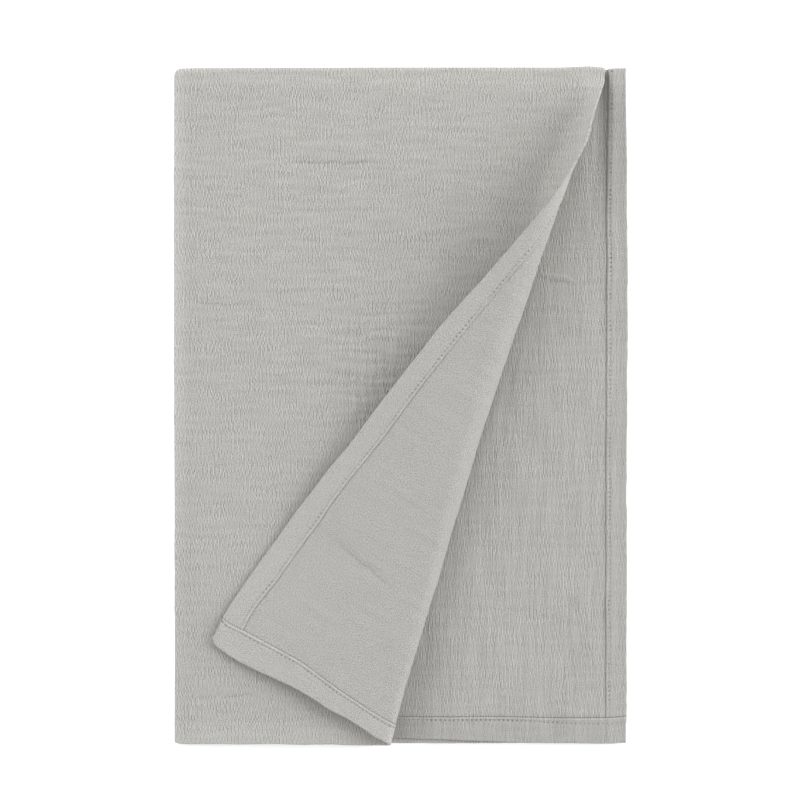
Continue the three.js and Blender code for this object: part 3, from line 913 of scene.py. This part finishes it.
def bare_material(name):
    """A material without nodes, and the way to add them."""
    material = bpy.data.materials.new(name)
    material.use_nodes = True
    material.node_tree.nodes.clear()
    return material, wire(material.node_tree)


def finish_material(add, colour, height, bump, finish):
    """The shader with its colour, its bump of a depth in millimetres, and its fixed finish."""
    raised = add("ShaderNodeBump", Height=height, Distance=bump * MM, Strength=1.0)
    shader = add("ShaderNodeBsdfPrincipled", **{"Base Color": colour, "Normal": raised.outputs[0]}, **finish)
    add("ShaderNodeOutputMaterial", Surface=shader.outputs[0])


def tinted(colour, share):
    """A colour made lighter or darker, for a colour socket."""
    return tuple(share * c for c in colour) + (1,)


def seam_holes(add, off_seam, run, first):
    """Needle holes between the stitches of one hem."""
    beat = maths(add, "FRACT", maths(add, "DIVIDE", less(add, run, first), STITCH_PITCH))
    return times(add, hump(add, off_seam, 0.0, 1.4), hump(add, beat, 0.5, 0.38))


def muslin_material(gauze, crease_line):
    """The cloth: its crinkle and creases, both also painted as shade and light, its hem edges with their
    painted shade and highlight, needle holes, and tones, among them painted shade and light. The masks
    run from 0 to 1: wrong for the cloth's wrong side, corner for that of the upper panel, lower for
    that of the lower panel, and above for what lies inside the end hem."""
    material, add = bare_material("muslin")
    uv = add("ShaderNodeUVMap", {"uv_map": "flat"})
    flat = add("ShaderNodeVectorMath", {"operation": "SCALE"}, Vector=uv.outputs[0], Scale=1 / MM).outputs[0]
    x, y, _unused = add("ShaderNodeSeparateXYZ", Vector=flat).outputs
    wrong = attribute(add, "wrong_side")
    upper = attribute(add, "upper_panel")
    corner = times(add, wrong, upper)
    lower = less(add, wrong, corner)
    side = attribute(add, "side_hem")
    foot = attribute(add, "end_hem")
    above = maths(add, "LESS_THAN", foot, 0.0)
    hem = maths(add, "MAXIMUM", ramp(add, side, -1.0, 2.0, 0.0, 1.0), ramp(add, foot, -1.0, 2.0, 0.0, 1.0))

    ribs = ramp(add, wrong, 0.0, 1.0, RELIEF["ribs"], RELIEF["lower_ribs"])
    ribs = ramp(add, corner, 0.0, 1.0, ribs, RELIEF["corner_ribs"])
    ribs = times(add, ribs, ramp(add, times(add, lower, hem), 0.0, 1.0, 1.0, RELIEF["hem_share"]))
    dash = ramp(add, wrong, 0.0, 1.0, *DASH)
    ripples = ramp(add, wrong, 0.0, 1.0, RELIEF["ripples"], RELIEF["lower_ripples"])
    ripples = times(add, ripples, ramp(add, y, *FADES["ripples"]))
    across, along, _sign = flat_place("upper", WAFFLE)
    waffle_and_shade = times(add, hump(add, x, across, WAFFLE["wide"]), hump(add, y, along, WAFFLE["long"]))
    columns = times(add, waffle_and_shade, times(add, less(add, 1.0, wrong), RELIEF["waffle_and_shade"]))
    rows = plus_share(add, columns, less(add, 1.0, corner), RELIEF["rows"])
    streaks = times(add, lower, RELIEF["streaks"])
    yarn = ramp(add, corner, 0.0, 1.0, RELIEF["yarn"], RELIEF["corner_yarn"])
    # The relief also colours the cloth below, as painted shade in its furrows and painted light on its
    # ridges.
    relief = add("ShaderNodeGroup", {"node_tree": gauze}, Flat=flat, Ribs=ribs, Dash=dash, Rows=rows,
                 Columns=columns, Ripples=ripples, Streaks=streaks, Yarn=yarn).outputs["Relief"]

    sway = times(add, less(add, pattern(add, flat, "crease_sway"), 0.5), CREASE_SWAY)
    for panel, crease in PLACED_CREASES:
        across, along, sign = flat_place(panel, crease)
        turn = sign * math.radians(crease["turn"])
        middle = {"Middle Across": across, "Middle Along": along}
        line = add("ShaderNodeGroup", {"node_tree": crease_line}, Across=x, Along=y, Sway=sway,
                   Cosine=math.cos(turn), Sine=math.sin(turn), Length=crease["length"],
                   Width=CREASE_SPREAD * crease["width"], **middle)
        # A crease's colour is painted shade along a trough and painted light along a ridge, and it raises
        # the bump too.
        slope = CREASE_TONE * crease["rise"] / crease["width"]
        relief = plus_share(add, relief, line.outputs["Rise"], slope)

    lines = []
    for inside, half in ((-0.5, 0.8), (1.0, 1.1)):
        at_side = times(add, hump(add, side, inside, half), above)
        lines.append(maths(add, "MAXIMUM", hump(add, foot, inside, half), at_side))
    flat_top = times(add, corner, ramp(add, y, *FADES["corner_side_hem"]))
    faint_end = times(add, corner, less(add, 1.0, above), ramp(add, x, *FADES["corner_end_hem"]))
    shown = less(add, less(add, wrong, flat_top), faint_end)
    # Painted shade and painted highlight along a hem's folded edge, in the colour and the bump.
    shade = times(add, lines[0], shown, ramp(add, corner, 0.0, 1.0, *HEM_SHADE))
    shine = times(add, lines[1], shown)
    relief = maths(add, "ADD", shade, plus_share(add, relief, shine, HEM_SHINE))
    side_holes = seam_holes(add, less(add, side, SEAM_INSIDE), y, SIDE_SEAM_START)
    foot_holes = seam_holes(add, attribute(add, "end_seam"), x, END_SEAM_START)
    holes = maths(add, "MAXIMUM", times(add, side_holes, above), foot_holes)
    depth = times(add, ramp(add, wrong, 0.0, 1.0, 0.2, 1.0), ramp(add, corner, 0.0, 1.0, 1.0, 0.8))
    depth = times(add, depth, ramp(add, pattern(add, flat, "sewing"), *LEVELS["sewing"]))
    depth = times(add, depth, ramp(add, y, *FADES["holes"]))
    holes = times(add, holes, depth)

    fold_light = times(add, hump(add, x, 0.0, LIT_FOLD), ramp(add, y, *FADES["long_fold"]))
    # Painted light on the turned corner, which tilts away from the lamps.
    light = plus_share(add, maths(add, "ADD", fold_light, relief), corner, TONES["corner"])
    light = plus_share(add, light, lower, TONES["lower"])
    # Painted shade on the round of the turned corner's crease.
    light = plus_share(add, light, times(add, attribute(add, "round_turn"), corner), TONES["round_turn"])
    # Painted shade in the hollows of the lower panel, beside its hem and right of the turned corner.
    light = plus_share(add, light, attribute(add, "hollow"), TONES["hollow"])
    # Painted shade on the upper panel beside the turned corner's free edge, where the waffle is.
    light = less(add, light, columns)
    light = plus_share(add, light, times(add, hem, upper), TONES["upper_hem"])
    light = plus_share(add, light, times(add, hem, lower), TONES["lower_hem"])
    share = plus_share(add, 0.5, light, 0.5 / TONE_SPAN)
    cloth = add("ShaderNodeMix", {"data_type": "RGBA", "clamp_factor": True}, i0=share,
                i6=tinted(MUSLIN, 1 - TONE_SPAN), i7=tinted(MUSLIN, 1 + TONE_SPAN)).outputs[2]
    colour = add("ShaderNodeMix", {"data_type": "RGBA"}, i0=holes, i6=cloth,
                 i7=tinted(MUSLIN, HOLE_TONE)).outputs[2]
    finish_material(add, colour, plus_share(add, relief, holes, -0.5), 0.6, MUSLIN_FINISH)
    return material


def thread_material():
    material, add = bare_material("thread")
    spot = add("ShaderNodeTexCoord").outputs["Object"]
    twist = add("ShaderNodeTexNoise", Vector=spot, Scale=1600.0, Detail=2.0).outputs[0]
    colour = add("ShaderNodeMix", {"data_type": "RGBA"}, i0=twist, i6=tinted(THREAD["dark"], 1),
                 i7=tinted(THREAD["light"], 1)).outputs[2]
    finish_material(add, colour, twist, 0.15, THREAD_FINISH)
    return material


# Camera, floor and light

def place_camera():
    data = bpy.data.cameras.new("camera")
    data.sensor_width = 36
    data.lens = data.sensor_width * (CAMERA_HEIGHT - STACK) / VIEW_WIDTH
    data.clip_end = 100
    camera = add_object("camera", data)
    camera.location = ((VIEW_X + SHIFT[0]) * MM, (VIEW_Y + SHIFT[1]) * MM, CAMERA_HEIGHT * MM)
    bpy.context.scene.camera = camera


def lay_floor():
    half = 6.0
    corners = [(-half, -half, 0), (half, -half, 0), (half, half, 0), (-half, half, 0)]
    mesh = bpy.data.meshes.new("floor")
    mesh.from_pydata(corners, [], [(0, 1, 2, 3)])
    floor = add_object("floor", mesh)
    floor.location.z = -0.0004
    material = bpy.data.materials.new("floor")
    material.use_nodes = True
    shader = material.node_tree.nodes["Principled BSDF"]
    for name, value in FLOOR_FINISH.items():
        shader.inputs[name].default_value = value
    mesh.materials.append(material)


def light_studio():
    """A white tent all round, a broad soft lamp on each side, and one beyond the top fold."""
    world = bpy.data.worlds.new("studio")
    world.use_nodes = True
    background = world.node_tree.nodes["Background"]
    background.inputs["Color"].default_value = LIGHT_COLOUR + (1,)
    background.inputs["Strength"].default_value = DOME
    bpy.context.scene.world = world
    for name, lamp in SIDE_LAMPS.items():
        data = bpy.data.lights.new(name, "SUN")
        data.energy = lamp["energy"]
        data.color = LIGHT_COLOUR
        data.angle = math.radians(lamp["spread"])
        light = add_object(name, data)
        light.rotation_euler = (0, math.radians(lamp["lean"]), math.radians(lamp["bearing"]))
        light.location = (0, 0, 2)
    data = bpy.data.lights.new("top_lamp", "AREA")
    data.shape = "SQUARE"
    data.size = TOP_LAMP["size"]
    data.energy = TOP_LAMP["power"]
    data.color = LIGHT_COLOUR
    light = add_object("top_lamp", data)
    light.location = (0, TOP_LAMP["y"], TOP_LAMP["z"])
    light.rotation_euler = (-math.atan2(TOP_LAMP["y"], TOP_LAMP["z"]), 0, 0)
    bpy.context.scene.view_settings.view_transform = "Standard"
    bpy.context.scene.view_settings.look = "None"


place_camera()
lay_floor()
light_studio()

muslin = muslin_material(gauze_group(), crease_group())
thread = thread_material()
blanket = build_cloth()
blanket.data.materials.append(muslin)
stitches = build_stitches(thread)

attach(blanket, "root")
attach(stitches, "root")
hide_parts("muslin_cloth")
